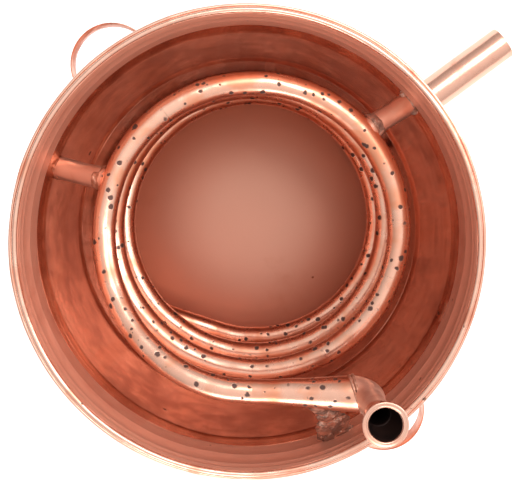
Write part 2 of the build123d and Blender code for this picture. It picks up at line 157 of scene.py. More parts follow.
def paper_floor():
    bm = bmesh.new()
    bmesh.ops.create_grid(bm, x_segments=24, y_segments=24, size=6.0)
    for corner in bm.verts:
        corner.co.z = cad_low.z + 0.02 * max(0.0, corner.co.length - 3.0) ** 2 - 0.0002
    mesh = bpy.data.meshes.new("paper_floor")
    bm.to_mesh(mesh)
    bm.free()
    floor = bpy.data.objects.new("paper_floor", mesh)
    mesh.materials.append(floor_material())
    scene.collection.objects.link(floor)


paper_floor()
print("floor at", round(cad_low.z, 4))

# %% [markdown]
# ## Shared effects
# Three things age this copper everywhere, in different amounts: cloudy patches where the metal
# has tanned, dark specks where water has stood, and fine rings left by turning and planishing.
# Each is a node group, built once, that puts out colours or masks only. The shader itself stays
# in each material, where its own constants are set.
# %% Helpers for node trees
def start_group(name, inputs, outputs):
    group = bpy.data.node_groups.new(name, "ShaderNodeTree")
    for label, kind, value in inputs:
        socket = group.interface.new_socket(name=label, in_out="INPUT", socket_type=kind)
        if value is not None:
            socket.default_value = value
    for label, kind in outputs:
        group.interface.new_socket(name=label, in_out="OUTPUT", socket_type=kind)
    return group, group.nodes.new("NodeGroupInput"), group.nodes.new("NodeGroupOutput")


def add(tree, kind, settings=(), **inputs):
    """Add a node, set its settings, and set or link its inputs by name."""
    node = tree.nodes.new(kind)
    for key, value in dict(settings).items():
        setattr(node, key, value)
    for label, value in inputs.items():
        socket = node.inputs[int(label[1:])] if label[0] == "_" else node.inputs[label.replace("_", " ")]
        if isinstance(value, bpy.types.NodeSocket):
            tree.links.new(value, socket)
        else:
            socket.default_value = value
    return node


def smooth_step(tree, value, low, high):
    step = add(tree, "ShaderNodeMapRange", {"interpolation_type": "SMOOTHSTEP"}, Value=value,
               From_Min=low, From_Max=high)
    return step.outputs[0]


def mixed(tree, share, first, second):
    mix = add(tree, "ShaderNodeMix", {"data_type": "RGBA"}, _0=share, _6=first, _7=second)
    return mix.outputs[2]


print("helpers ready")

# %% Effect: tanned patches
FLOAT, COLOUR, VECTOR = "NodeSocketFloat", "NodeSocketColor", "NodeSocketVector"


def tanned_patches():
    group, given, result = start_group(
        "tanned_patches",
        [("Place", VECTOR, None), ("Fresh", COLOUR, (0.9, 0.5, 0.35, 1)),
         ("Tanned", COLOUR, (0.6, 0.2, 0.1, 1)), ("Patch Scale", FLOAT, 12.0),
         ("Spread", FLOAT, 0.5), ("Cloud Scale", FLOAT, 70.0)],
        [("Colour", COLOUR), ("Mask", FLOAT)])
    large = add(group, "ShaderNodeTexNoise", Vector=given.outputs["Place"],
                Scale=given.outputs["Patch Scale"], Detail=3.0, Distortion=0.6)
    fine = add(group, "ShaderNodeTexNoise", Vector=given.outputs["Place"],
               Scale=given.outputs["Cloud Scale"], Detail=4.0)
    both = add(group, "ShaderNodeMath", {"operation": "MULTIPLY_ADD"}, _0=fine.outputs["Fac"], _1=0.45)
    group.links.new(large.outputs["Fac"], both.inputs[2])
    start = add(group, "ShaderNodeMath", {"operation": "SUBTRACT"}, _0=1.15, _1=given.outputs["Spread"])
    end = add(group, "ShaderNodeMath", {"operation": "ADD"}, _0=start.outputs[0], _1=0.3)
    mask = smooth_step(group, both.outputs[0], start.outputs[0], end.outputs[0])
    colour = mixed(group, mask, given.outputs["Fresh"], given.outputs["Tanned"])
    group.links.new(colour, result.inputs["Colour"])
    group.links.new(mask, result.inputs["Mask"])
    return group


TANNED = tanned_patches()
print("tanned patches ready")

# %% Effect: water specks
def water_specks():
    """Round specks of uneven size; only a share of the cells has one."""
    group, given, result = start_group(
        "water_specks",
        [("Place", VECTOR, None), ("Scale", FLOAT, 90.0), ("Share", FLOAT, 0.3),
         ("Size", FLOAT, 0.35)],
        [("Mask", FLOAT)])
    warp = add(group, "ShaderNodeTexNoise", Vector=given.outputs["Place"], Scale=350.0, Detail=2.0)
    shift = add(group, "ShaderNodeVectorMath", {"operation": "SCALE"}, _0=warp.outputs["Color"])
    shift.inputs["Scale"].default_value = 0.0022
    place = add(group, "ShaderNodeVectorMath", {"operation": "ADD"}, _0=given.outputs["Place"],
                _1=shift.outputs[0])
    cells = add(group, "ShaderNodeTexVoronoi", {"feature": "F1"}, Vector=place.outputs[0],
                Scale=given.outputs["Scale"])
    random = add(group, "ShaderNodeSeparateColor", Color=cells.outputs["Color"])
    chosen = add(group, "ShaderNodeMath", {"operation": "LESS_THAN"}, _0=random.outputs[0],
                 _1=given.outputs["Share"])
    radius = add(group, "ShaderNodeMath", {"operation": "MULTIPLY"}, _0=random.outputs[1],
                 _1=given.outputs["Size"])
    inner = add(group, "ShaderNodeMath", {"operation": "MULTIPLY"}, _0=radius.outputs[0], _1=0.6)
    outside = smooth_step(group, cells.outputs["Distance"], inner.outputs[0], radius.outputs[0])
    inside = add(group, "ShaderNodeMath", {"operation": "SUBTRACT"}, _0=1.0, _1=outside)
    mask = add(group, "ShaderNodeMath", {"operation": "MULTIPLY"}, _0=inside.outputs[0],
               _1=chosen.outputs[0])
    group.links.new(mask.outputs[0], result.inputs["Mask"])
    return group


SPECKS = water_specks()
print("water specks ready")

# %% Effect: turning rings
def turning_rings():
    """Fine rings round the tub's axis: noise read along height and radius only."""
    group, given, result = start_group(
        "turning_rings",
        [("Place", VECTOR, None), ("Rings", FLOAT, 900.0), ("Runout", FLOAT, 6.0)],
        [("Height", FLOAT), ("Mask", FLOAT)])
    parts = add(group, "ShaderNodeSeparateXYZ", _0=given.outputs["Place"])
    flat = add(group, "ShaderNodeCombineXYZ", X=parts.outputs[0], Y=parts.outputs[1], Z=0.0)
    radius = add(group, "ShaderNodeVectorMath", {"operation": "LENGTH"}, _0=flat.outputs[0])
    across = add(group, "ShaderNodeMath", {"operation": "ADD"}, _0=radius.outputs["Value"],
                 _1=parts.outputs[2])
    drift = add(group, "ShaderNodeTexNoise", Vector=given.outputs["Place"],
                Scale=given.outputs["Runout"], Detail=1.0)
    wander = add(group, "ShaderNodeMath", {"operation": "MULTIPLY_ADD"}, _0=drift.outputs["Fac"],
                 _1=0.004, _2=across.outputs[0])
    lines = add(group, "ShaderNodeTexNoise", {"noise_dimensions": "1D"}, W=wander.outputs[0],
                Scale=given.outputs["Rings"], Detail=3.0, Roughness=0.7)
    strong = smooth_step(group, lines.outputs["Fac"], 0.58, 0.72)
    group.links.new(lines.outputs["Fac"], result.inputs["Height"])
    group.links.new(strong, result.inputs["Mask"])
    return group


RINGS = turning_rings()
print("turning rings ready")

# %% [markdown]
# ## Copper
# All the copper is one recipe with different values: the same three effects, weaker on the
# polished spout and stronger on the worm, which has had warm vapour in it and cold water round
# it. Roughness rises where the metal is tanned or specked, so highlights break up there.
# %% One recipe for copper
def place_group(tree, group, place, **values):
    node = tree.nodes.new("ShaderNodeGroup")
    node.node_tree = group
    tree.links.new(place, node.inputs["Place"])
    for label, value in values.items():
        node.inputs[label.replace("_", " ")].default_value = value
    return node


def copper(name, fresh, tanned, patch_scale, spread, gloss, dull, speck_scale, speck_share,
           speck_size, speck_colour, rings, ring_depth, dent_scale, dent_depth, metallic=1.0):
    made = bpy.data.materials.new(name)
    made.use_nodes = True
    tree = made.node_tree
    shader = tree.nodes["Principled BSDF"]
    place = add(tree, "ShaderNodeTexCoord").outputs["Object"]
    tan = place_group(tree, TANNED, place, Fresh=(*fresh, 1), Tanned=(*tanned, 1),
                      Patch_Scale=patch_scale, Spread=spread)
    specks = place_group(tree, SPECKS, place, Scale=speck_scale, Share=speck_share, Size=speck_size)
    marks = place_group(tree, RINGS, place, Rings=rings)
    colour = mixed(tree, specks.outputs["Mask"], tan.outputs["Colour"], (*speck_colour, 1))
    tree.links.new(colour, shader.inputs["Base Color"])
    shader.inputs["Metallic"].default_value = metallic

    worn = add(tree, "ShaderNodeMapRange", Value=tan.outputs["Mask"], To_Min=gloss, To_Max=dull)
    rough = add(tree, "ShaderNodeMath", {"operation": "MULTIPLY_ADD", "use_clamp": True},
                _0=specks.outputs["Mask"], _1=0.35, _2=worn.outputs[0])
    tree.links.new(rough.outputs[0], shader.inputs["Roughness"])

    dents = add(tree, "ShaderNodeTexNoise", Vector=place, Scale=dent_scale, Detail=1.5)
    ring_bump = add(tree, "ShaderNodeBump", Height=marks.outputs["Height"], Distance=ring_depth)
    dent_bump = add(tree, "ShaderNodeBump", Height=dents.outputs["Fac"], Distance=dent_depth,
                    Normal=ring_bump.outputs[0])
    pit_bump = add(tree, "ShaderNodeBump", {"invert": True}, Height=specks.outputs["Mask"],
                   Distance=0.00012, Normal=dent_bump.outputs[0])
    tree.links.new(pit_bump.outputs[0], shader.inputs["Normal"])
    return made


# The wall's copper is set darker than the band's: painted shade, for the worm's shaded underside that
# the tapered wall mirrors.
WALL = copper("planished_wall", (0.80, 0.41, 0.29), (0.48, 0.19, 0.12), 9.0, 0.55, 0.13, 0.26,
              60.0, 0.05, 0.16, (0.25, 0.08, 0.05), 700.0, 0.00012, 14.0, 0.0022)
BAND = copper("satin_band", (0.95, 0.50, 0.36), (0.85, 0.36, 0.24), 12.0, 0.45, 0.40, 0.50,
              70.0, 0.06, 0.15, (0.35, 0.12, 0.07), 700.0, 0.00010, 14.0, 0.0016, 0.65)
# The base's copper is set darker too: painted shade, for the little sky the base sees under the worm.
BASE = copper("satin_base", (0.62, 0.30, 0.215), (0.54, 0.23, 0.15), 7.0, 0.35, 0.42, 0.47,
              80.0, 0.04, 0.15, (0.3, 0.10, 0.06), 500.0, 0.00003, 12.0, 0.0006)
RIM = copper("rim_copper_finish", (0.93, 0.55, 0.42), (0.80, 0.36, 0.24), 30.0, 0.45, 0.22, 0.38,
             110.0, 0.12, 0.22, (0.35, 0.19, 0.14), 300.0, 0.00001, 45.0, 0.0010)
WORM = copper("worm_copper_finish", (0.94, 0.53, 0.39), (0.88, 0.36, 0.21), 26.0, 0.52, 0.26, 0.36,
              150.0, 0.88, 0.42, (0.17, 0.10, 0.085), 300.0, 0.00002, 60.0, 0.0006)
FITTING = copper("fitting_copper_finish", (0.93, 0.51, 0.38), (0.72, 0.26, 0.15), 34.0, 0.55, 0.18,
                 0.34, 120.0, 0.12, 0.2, (0.28, 0.13, 0.09), 400.0, 0.00003, 70.0, 0.0008)
SATIN = copper("satin_fitting", (0.97, 0.56, 0.42), (0.86, 0.38, 0.25), 40.0, 0.50, 0.38, 0.48,
               130.0, 0.14, 0.2, (0.28, 0.13, 0.09), 400.0, 0.00002, 70.0, 0.0006, 0.8)
SPOUT = copper("spout_copper_finish", (0.86, 0.48, 0.36), (0.78, 0.37, 0.26), 24.0, 0.45, 0.24,
               0.34, 120.0, 0.06, 0.14, (0.4, 0.2, 0.14), 300.0, 0.00001, 30.0, 0.0006)
STRAP = copper("strap_copper_finish", (0.88, 0.45, 0.32), (0.60, 0.26, 0.16), 60.0, 0.6, 0.25, 0.42,
               160.0, 0.2, 0.25, (0.3, 0.2, 0.16), 500.0, 0.00003, 90.0, 0.0006)


def shade_towards_wall(material, near, far, tone):
    """Darken a plate between two radii: painted shade where the worm and the wall shade it."""
    tree = material.node_tree
    shader = tree.nodes["Principled BSDF"]
    clean = shader.inputs["Base Color"].links[0].from_socket
    place = add(tree, "ShaderNodeTexCoord").outputs["Object"]
    radius = add(tree, "ShaderNodeVectorMath", {"operation": "LENGTH"}, _0=place)
    edge = smooth_step(tree, radius.outputs["Value"], near, far)
    tree.links.new(mixed(tree, edge, clean, (*tone, 1)), shader.inputs["Base Color"])


# Painted shade: the base darkens from 3 cm out to 12 cm, under the worm and by the wall.
shade_towards_wall(BASE, 0.03, 0.12, (0.50, 0.15, 0.085))
print("nine coppers made")

# %% [markdown]
# ## Solder
# The joints were made with soft solder that has been flushed with copper and then tanned, so it
# is pinkish grey and dull, with a wrinkled skin. It is metal all through, but rough enough that
# it hardly mirrors anything. Two noises, one for colour and one for the skin, are enough.
# %% Wrinkled solder
def solder(name, pale, dark, wrinkle):
    made = bpy.data.materials.new(name)
    made.use_nodes = True
    tree = made.node_tree
    shader = tree.nodes["Principled BSDF"]
    place = add(tree, "ShaderNodeTexCoord").outputs["Object"]
    tan = place_group(tree, TANNED, place, Fresh=(*pale, 1), Tanned=(*dark, 1),
                      Patch_Scale=130.0, Spread=0.62)
    tree.links.new(tan.outputs["Colour"], shader.inputs["Base Color"])
    shader.inputs["Metallic"].default_value = 0.85
    rough = add(tree, "ShaderNodeMapRange", Value=tan.outputs["Mask"], To_Min=0.36, To_Max=0.6)
    tree.links.new(rough.outputs[0], shader.inputs["Roughness"])
    skin = add(tree, "ShaderNodeTexNoise", Vector=place, Scale=wrinkle, Detail=4.0, Distortion=1.2)
    bump = add(tree, "ShaderNodeBump", Height=skin.outputs["Fac"], Distance=0.0012)
    tree.links.new(bump.outputs[0], shader.inputs["Normal"])
    return made


SOLDER = solder("flushed_solder", (0.78, 0.48, 0.37), (0.34, 0.20, 0.155), 260.0)
BEAD = solder("brazed_bead", (0.86, 0.47, 0.34), (0.50, 0.20, 0.12), 200.0)
print("two solders made")

# %% Iron wire, and a near-black material that is painted shade inside the bores
def dull_metal(name, colour, roughness, metallic):
    made = bpy.data.materials.new(name)
    made.use_nodes = True
    tree = made.node_tree
    shader = tree.nodes["Principled BSDF"]
    place = add(tree, "ShaderNodeTexCoord").outputs["Object"]
    cloud = place_group(tree, TANNED, place, Fresh=(*colour, 1),
                        Tanned=tuple(0.5 * part for part in colour) + (1,), Patch_Scale=80.0, Spread=0.6)
    tree.links.new(cloud.outputs["Colour"], shader.inputs["Base Color"])
    shader.inputs["Metallic"].default_value = metallic
    shader.inputs["Roughness"].default_value = roughness
    return made


IRON = dull_metal("drawn_iron", (0.22, 0.20, 0.19), 0.5, 0.9)
# The near-black bore material is painted shade: it darkens the insides of the riser and the socket.
BORE_SHADE = dull_metal("painted_bore_shade", (0.035, 0.012, 0.008), 0.65, 0.3)
print("iron and the burnt bore made")

# %% [markdown]
# ## Ways of making pieces
# Sheet metal that was raised or turned is a spun profile, and tube is a ring of points carried
# along a path. Both start from a few vertices and let an operator do the rest: spin makes the
# tub's walls, and extruding one ring again and again, each time moved to its next place, makes
# every tube, strap and bead.
# %% Helpers for meshes
def finish_piece(name, bm, material, stands_for=(), sharp=35.0):
    """Turn a bmesh into a smooth-shaded piece that rides on the tub and stands for its nodes."""
    bmesh.ops.recalc_face_normals(bm, faces=bm.faces)
    mesh = bpy.data.meshes.new(name)
    bm.to_mesh(mesh)
    bm.free()
    mesh.shade_smooth()
    mesh.set_sharp_from_angle(angle=radians(sharp))
    mesh.materials.append(material)
    piece = bpy.data.objects.new(name, mesh)
    scene.collection.objects.link(piece)
    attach(piece, "root")
    if stands_for:
        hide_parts(*stands_for)
    print(name, len(mesh.polygons), "faces, stands for", len(stands_for), "nodes")
    return piece


def spun(outline, steps=256, centre=(0, 0, 0)):
    """Spin a closed outline of (radius, height) points round the vertical through a centre."""
    bm = bmesh.new()
    corners = [bm.verts.new((centre[0] + r, centre[1], z)) for r, z in outline]
    edges = [bm.edges.new((a, b)) for a, b in zip(corners, corners[1:] + corners[:1])]
    bmesh.ops.spin(bm, geom=corners + edges, cent=centre, axis=UP, angle=2 * pi, steps=steps,
                   use_merge=True)
    bmesh.ops.remove_doubles(bm, verts=bm.verts, dist=1e-7)
    return bm


def arc(centre, radius, start, end, count):
    """Points along an arc in an outline; angles in degrees from outwards."""
    angles = [radians(start + (end - start) * index / (count - 1)) for index in range(count)]
    return [(centre[0] + radius * cos(a), centre[1] + radius * sin(a)) for a in angles]


def facing_place(centre, along, outward, size=1.0, flat=1.0):
    """A place for a ring: Z along the tube, X outward, at a size, flattened across if asked."""
    z = along.normalized()
    x = (outward - outward.dot(z) * z).normalized()
    turn = Matrix((x, z.cross(x), z)).transposed().to_4x4()
    return Matrix.Translation(centre) @ turn @ Matrix.Diagonal((size, size * flat, size, 1))


def carried(places, sides=32, bm=None, close_ends=True):
    """Carry a ring of radius 1 through the places, one extrusion at a time."""
    bm = bm or bmesh.new()
    ring = bmesh.ops.create_circle(bm, segments=sides, radius=1.0, matrix=places[0])["verts"]
    first = list({edge for vert in ring for edge in vert.link_edges})
    edges = first
    for before, after in zip(places, places[1:]):
        made = bmesh.ops.extrude_edge_only(bm, edges=edges)["geom"]
        moved = [part for part in made if isinstance(part, bmesh.types.BMVert)]
        edges = [part for part in made if isinstance(part, bmesh.types.BMEdge)
                 and all(vert in moved for vert in part.verts)]
        bmesh.ops.transform(bm, matrix=after @ before.inverted(), verts=moved)
    if close_ends:
        bmesh.ops.edgeloop_fill(bm, edges=first)
        bmesh.ops.edgeloop_fill(bm, edges=edges)
    return bm


def dented(bm, depth, scale, seed=0.0):
    """Move each point along its normal by smooth noise, as a hammer and a mandrel leave it."""
    bm.normal_update()
    shift = Vector((seed, seed, seed))
    for vert in bm.verts:
        vert.co += vert.normal * depth * noise.noise(vert.co * scale + shift)
    return bm


print("helpers ready")

# %% [markdown]
# ## The wall
# The wall is sheet: a straight band at the top with two faint raised lines, a slope in to a
# sharp shoulder, a long tapered body, a small step, and the lower body. In the frame these are
# separate pieces, so they are spun apart, each from its own outline.
# %% Radii of the wall
SHEET = 1.2 * MM
BAND_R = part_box("upper_band")[1].x - SHEET
BAND_LOW, BAND_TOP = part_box("upper_band")[0].z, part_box("upper_band")[1].z
SHOULDER_Z = BAND_LOW - 8 * MM
SHOULDER_R = BAND_R - 4.9 * MM
STEP_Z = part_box("lower_wall_north_west")[1].z
STEP_R, BASE_R = 145.2 * MM, 139.0 * MM
SIDES = ("north_east", "north_west", "south_west", "south_east")


def sheet_outline(inner):
    """Close an inside line of (radius, height) points into a sheet's outline."""
    return inner + [(r + SHEET, z) for r, z in reversed(inner)]


def raised_line(z, height, proud):
    """A small rounded line that stands in from the band's face."""
    return [(BAND_R, z - height), (BAND_R - proud * 0.7, z - height * 0.5), (BAND_R - proud, z),
            (BAND_R - proud * 0.7, z + height * 0.5), (BAND_R, z + height)]


print("band radius", round(BAND_R, 4), "shoulder at", round(SHOULDER_Z, 4))

# %% Band, tapered body and lower body
band_line = [(BAND_R, BAND_LOW), (BAND_R, BAND_LOW + 6 * MM)]
band_line += raised_line(RIM_Z - 46 * MM, 1.3 * MM, 0.45 * MM)
band_line += raised_line(RIM_Z - 20 * MM, 1.0 * MM, 0.35 * MM)
band_line += raised_line(RIM_Z - 9 * MM, 0.9 * MM, 0.40 * MM)
band_line += [(BAND_R, BAND_TOP)]
finish_piece("band_sheet", dented(spun(sheet_outline(band_line)), 0.5 * MM, 22.0), BAND,
             ["upper_band"])

body_line = [(STEP_R, STEP_Z), (STEP_R + 0.5 * MM, STEP_Z + 1.6 * MM),
             (STEP_R + 2.3 * MM, STEP_Z + 4 * MM)]
BODY_RISES = 14
for index in range(1, BODY_RISES):
    share = index / BODY_RISES
    body_line.append((STEP_R + 2.3 * MM + (SHOULDER_R - STEP_R - 2.3 * MM) * share,
                      STEP_Z + 4 * MM + (SHOULDER_Z - STEP_Z - 4 * MM) * share))
body_line += [(SHOULDER_R, SHOULDER_Z - 0.8 * MM), (SHOULDER_R + 0.1 * MM, SHOULDER_Z + 0.4 * MM),
              (SHOULDER_R + 2.4 * MM, SHOULDER_Z + 3.6 * MM), (BAND_R, BAND_LOW)]
finish_piece("tapered_body", dented(spun(sheet_outline(body_line)), 0.9 * MM, 15.0, 4.0), WALL,
             [f"tapered_wall_{side}" for side in SIDES])

LOWER_RISES = 8
lower_line = [(BASE_R + (STEP_R - BASE_R) * index / LOWER_RISES, STEP_Z * index / LOWER_RISES)
              for index in range(LOWER_RISES + 1)]
lower = dented(spun(sheet_outline(lower_line)), 0.5 * MM, 18.0, 9.0)
for vert in lower.verts:
    vert.co.z = max(vert.co.z, cad_low.z)
finish_piece("lower_body", lower, WALL, [f"lower_wall_{side}" for side in SIDES])

# %% [markdown]
# ## The rim
# The top edge is rolled over an iron wire, and a half-round hoop is shrunk on outside it. From
# above they are two bright bands with a dark line between them. Both are spun from outlines with
# true arcs, and dented a little, because a hand-rolled rim is never quite even.
# %% Roll and hoop
roll_low, roll_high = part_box("rim_roll")
ROLL_R = (roll_high.z - roll_low.z) / 2
ROLL_MIDDLE = (roll_high.x - ROLL_R, roll_high.z - ROLL_R)
finish_piece("rolled_edge", dented(spun(arc(ROLL_MIDDLE, ROLL_R - 0.1 * MM, 0, 345, 24), 320),
                                   0.35 * MM, 28.0), RIM, ["rim_roll"])
hoop_low, hoop_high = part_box("rim_hoop")
HOOP_IN = ROLL_MIDDLE[0] + ROLL_R * 0.8
HOOP_ROUND = 1.3 * MM
hoop_line = [(BAND_R + SHEET, hoop_low.z), (hoop_high.x - 1 * MM, hoop_low.z)]
hoop_line += arc((hoop_high.x - HOOP_ROUND, hoop_high.z - HOOP_ROUND), HOOP_ROUND, 0, 150, 8)
hoop_line += [(HOOP_IN, hoop_high.z - 1.6 * MM), (BAND_R + SHEET, hoop_high.z - 3 * MM)]
finish_piece("rim_band_hoop", dented(spun(hoop_line, 320), 0.4 * MM, 26.0, 7.0), RIM,
             ["rim_hoop"])

# %% [markdown]
# ## Base and foot
# The base is one flat plate, satin from scrubbing, so it mirrors the sky as a soft bright cloud.
# It is dished by less than a millimetre, which moves that cloud as the real plate does. A plate
# that is built of rings can be dished, so it is spun from a line of points with two skins.
# %% Base plate and foot ring
base_low, base_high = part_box("base_plate")
BASE_THICK = base_high.z - base_low.z
plate = bmesh.new()
RINGS_ON_PLATE = 24
top = [plate.verts.new((base_high.x * (1 - index / RINGS_ON_PLATE), 0, base_high.z))
       for index in range(RINGS_ON_PLATE)]
bottom = [plate.verts.new((base_high.x, 0, base_low.z)), plate.verts.new((0.02, 0, base_low.z))]
line = list(reversed(bottom)) + top
edges = [plate.edges.new(pair) for pair in zip(line, line[1:])]
bmesh.ops.spin(plate, geom=line + edges, cent=(0, 0, 0), axis=UP, angle=2 * pi, steps=192,
               use_merge=True)
bmesh.ops.remove_doubles(plate, verts=plate.verts, dist=1e-7)
bmesh.ops.holes_fill(plate, edges=[edge for edge in plate.edges if edge.is_boundary], sides=0)
for vert in plate.verts:
    if vert.co.z > base_low.z + BASE_THICK / 2:
        share = hypot(vert.co.x, vert.co.y) / base_high.x
        vert.co.z -= 0.7 * MM * (1 - share ** 2)
finish_piece("base_dish", plate, BASE, ["base_plate"])

foot_low, foot_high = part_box("foot_ring")
FOOT_IN = BASE_R + SHEET
foot_line = [(FOOT_IN, 0)] + arc((foot_high.x - 1 * MM, 1 * MM), 1 * MM, -90, 0, 5)
foot_line += arc((foot_high.x - 1 * MM, foot_high.z - 1 * MM), 1 * MM, 0, 90, 5)
foot_line += [(FOOT_IN + 0.3 * MM, foot_high.z)]
finish_piece("foot_hoop", spun(foot_line), RIM, ["foot_ring"])

# %% [markdown]
# ## The worm
# The worm is drawn tube bent round a drum by hand. It starts level with the inlet, drops under
# it in a third of a turn, runs nearly level, then winds down steadily. The height is a formula
# of the turn, so one function places a ring anywhere along it, and a slow wobble of under a
# millimetre keeps the turns from looking machine made.
# %% The worm's line
coil_low, coil_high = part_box("worm_length_5")
WORM_CENTRE = Vector((3.5 * MM, 5.7 * MM, 0))
WORM_R, TUBE_R = 113 * MM, 9 * MM
START_Z = RIM_Z - 15 * MM
FIRST_DROP, FIRST_DROP_TURN = 46 * MM, 0.3
PITCH, DESCENT_TURN, STEADY_TURN, LAST_TURN = 85 * MM, 0.4, 0.8, 3.05


def worm_height(turn):
    share = min(max(turn, 0.0) / FIRST_DROP_TURN, 1.0)
    drop = FIRST_DROP * (1 - cos(share * pi)) / 2
    if turn > STEADY_TURN:
        drop += PITCH * (turn - (DESCENT_TURN + STEADY_TURN) / 2)
    elif turn > DESCENT_TURN:
        drop += PITCH * (turn - DESCENT_TURN) ** 2 / (2 * (STEADY_TURN - DESCENT_TURN))
    return START_Z - drop


def worm_point(turn):
    angle = -pi / 2 - 2 * pi * turn
    wobble = 0.35 * MM * sin(9.4 * turn + 1.0) + 0.25 * MM * sin(23.0 * turn)
    out = Vector((cos(angle), sin(angle), 0))
    return WORM_CENTRE + out * (WORM_R + wobble) + UP * worm_height(turn)


def worm_place(turn):
    point = worm_point(turn)
    along = worm_point(turn + 0.002) - worm_point(turn - 0.002)
    flat = 1.0 + 0.012 * sin(31.0 * turn)
    return facing_place(point, along, point - WORM_CENTRE, TUBE_R, flat)


def stretch(start, end, per_turn=200):
    count = max(2, round((end - start) * per_turn))
    return [start + (end - start) * index / count for index in range(count + 1)]


print("worm from", round(START_Z, 4), "to", round(worm_height(LAST_TURN), 4))

# %% Seven brazed lengths
UPPER_LENGTHS, LOWER_LENGTHS = 2, 5
joints = [STEADY_TURN * index / UPPER_LENGTHS for index in range(UPPER_LENGTHS)]
joints += [STEADY_TURN + (LAST_TURN - STEADY_TURN) * index / LOWER_LENGTHS
           for index in range(LOWER_LENGTHS + 1)]
for number, (start, end) in enumerate(zip(joints, joints[1:]), 1):
    tube = carried([worm_place(turn) for turn in stretch(start, end)], 40)
    finish_piece(f"coil_length_{number}", dented(tube, 0.35 * MM, 60.0, 3.0), WORM,
                 [f"worm_length_{number}"])

# %% [markdown]
# ## The inlet
# Vapour comes in through an upright socket, down a leaning riser and round a domed knee into a
# length that tapers down to the worm. Seen from above, the knee's dome, the slanting seam and
# the socket's ring make the busiest corner of the tub. Knee and riser are one carried ring that
# turns and shrinks at once, about a point just above the knee.
# %% Inlet length and its seam
KNEE = Vector((78.9 * MM, -107.7 * MM, RIM_Z - 6 * MM))
KNEE_R = 14 * MM
SEAM_TURN = radians(18)
FLARE_START = Vector((18 * MM, -107.4 * MM, 0))
inlet_start = worm_point(0)
inlet_run = KNEE - inlet_start
seam_out = Vector((cos(SEAM_TURN), sin(SEAM_TURN), 0))


def inlet_place(share):
    """A ring along the inlet length: it swells past its first quarter and skews to the seam."""
    flare_at = (FLARE_START.x - inlet_start.x) / inlet_run.x
    swell = max(0.0, (share - flare_at) / (1 - flare_at))
    size = TUBE_R + (KNEE_R - TUBE_R) * (0.75 * swell + 0.25 * swell ** 3)
    skew = max(0.0, (share - 0.55) / 0.45) ** 1.5
    along = inlet_run.normalized().lerp(seam_out, skew)
    return facing_place(inlet_start + inlet_run * share, along, Vector((0, -1, 0)), size)


INLET_RINGS = 48
inlet = carried([inlet_place(index / INLET_RINGS) for index in range(INLET_RINGS + 1)], 48)
finish_piece("inlet_taper", dented(inlet, 0.5 * MM, 55.0, 5.0), WORM,
             ["worm_inlet_length"])

# %% Knee and riser
MOUTH = Vector((92.0 * MM, -114.2 * MM, RIM_Z + 62 * MM))
RISER_FOOT = Vector((86.0 * MM, -108.6 * MM, RIM_Z - 2 * MM))
riser_along = (MOUTH - RISER_FOOT).normalized()
RISER_LENGTH = (MOUTH - RISER_FOOT).length - 23 * MM
riser_start = RISER_FOOT + riser_along * 14 * MM
riser_end = RISER_FOOT + riser_along * RISER_LENGTH
KNEE_RINGS = 22


def knee_place(share):
    """A ring that turns from the seam's direction up to the riser's while it shrinks."""
    angle = share * pi / 2
    pivot = (KNEE + UP * (KNEE_R + 1 * MM)).lerp(riser_start - seam_out * 11 * MM, share)
    size = KNEE_R + (9.9 * MM - KNEE_R) * share
    reach = size + 1.2 * MM
    centre = pivot + seam_out * sin(angle) * reach - UP * cos(angle) * reach
    along = seam_out * cos(angle) + UP * sin(angle)
    if share > 0.85:
        along = along.lerp(riser_along, (share - 0.85) / 0.15)
    return facing_place(centre, along, Vector((-seam_out.y, seam_out.x, 0)), size)


places = [knee_place(index / KNEE_RINGS) for index in range(KNEE_RINGS + 1)]
across = Vector((-seam_out.y, seam_out.x, 0))
for index in range(1, 9):
    share = index / 8
    place = riser_start.lerp(riser_end, share)
    places.append(facing_place(place, riser_along, across, (9.9 - 0.8 * share) * MM))
knee = carried(places, 48, close_ends=False)
knee_piece = finish_piece("knee_and_riser", dented(knee, 0.45 * MM, 70.0, 2.0), SATIN,
                          ["inlet_knee"])
# The tube's inside and its cut ends get the near-black material: painted shade.
knee_piece.data.materials.append(BORE_SHADE)
wall = knee_piece.modifiers.new("tube_wall", "SOLIDIFY")
wall.thickness = 1 * MM
wall.offset = -1.0
wall.material_offset = 1
wall.material_offset_rim = 1

# %% Seam bead round the knee
def bead_places(centre, normal, radius, size, count=72, lump=0.25, seed=0.0):
    """Places for a closed bead: round a circle, with its size made uneven by noise."""
    side = normal.orthogonal().normalized()
    up = normal.cross(side).normalized()
    places = []
    for index in range(count + 1):
        angle = 2 * pi * (index % count) / count
        out = side * cos(angle) + up * sin(angle)
        uneven = 1 + lump * noise.noise(out * 4 + Vector((seed, 0, 0)))
        places.append(facing_place(centre + out * radius, normal.cross(out), out, size * uneven))
    return places


def bead(centre, normal, radius, size, bm=None, **uneven):
    bm = carried(bead_places(centre, normal.normalized(), radius, size, **uneven), 12, bm,
                 close_ends=False)
    bmesh.ops.remove_doubles(bm, verts=bm.verts, dist=1e-6)
    return bm


seam = bead(KNEE - seam_out * 1.1 * MM, seam_out, KNEE_R - 0.1 * MM, 1.2 * MM, lump=0.25)
bead(KNEE + seam_out * 1.1 * MM, seam_out, KNEE_R - 0.1 * MM, 1.1 * MM, seam, lump=0.25, seed=5.0)
finish_piece("seam_band", seam, BEAD, ["inlet_seam_solder"])

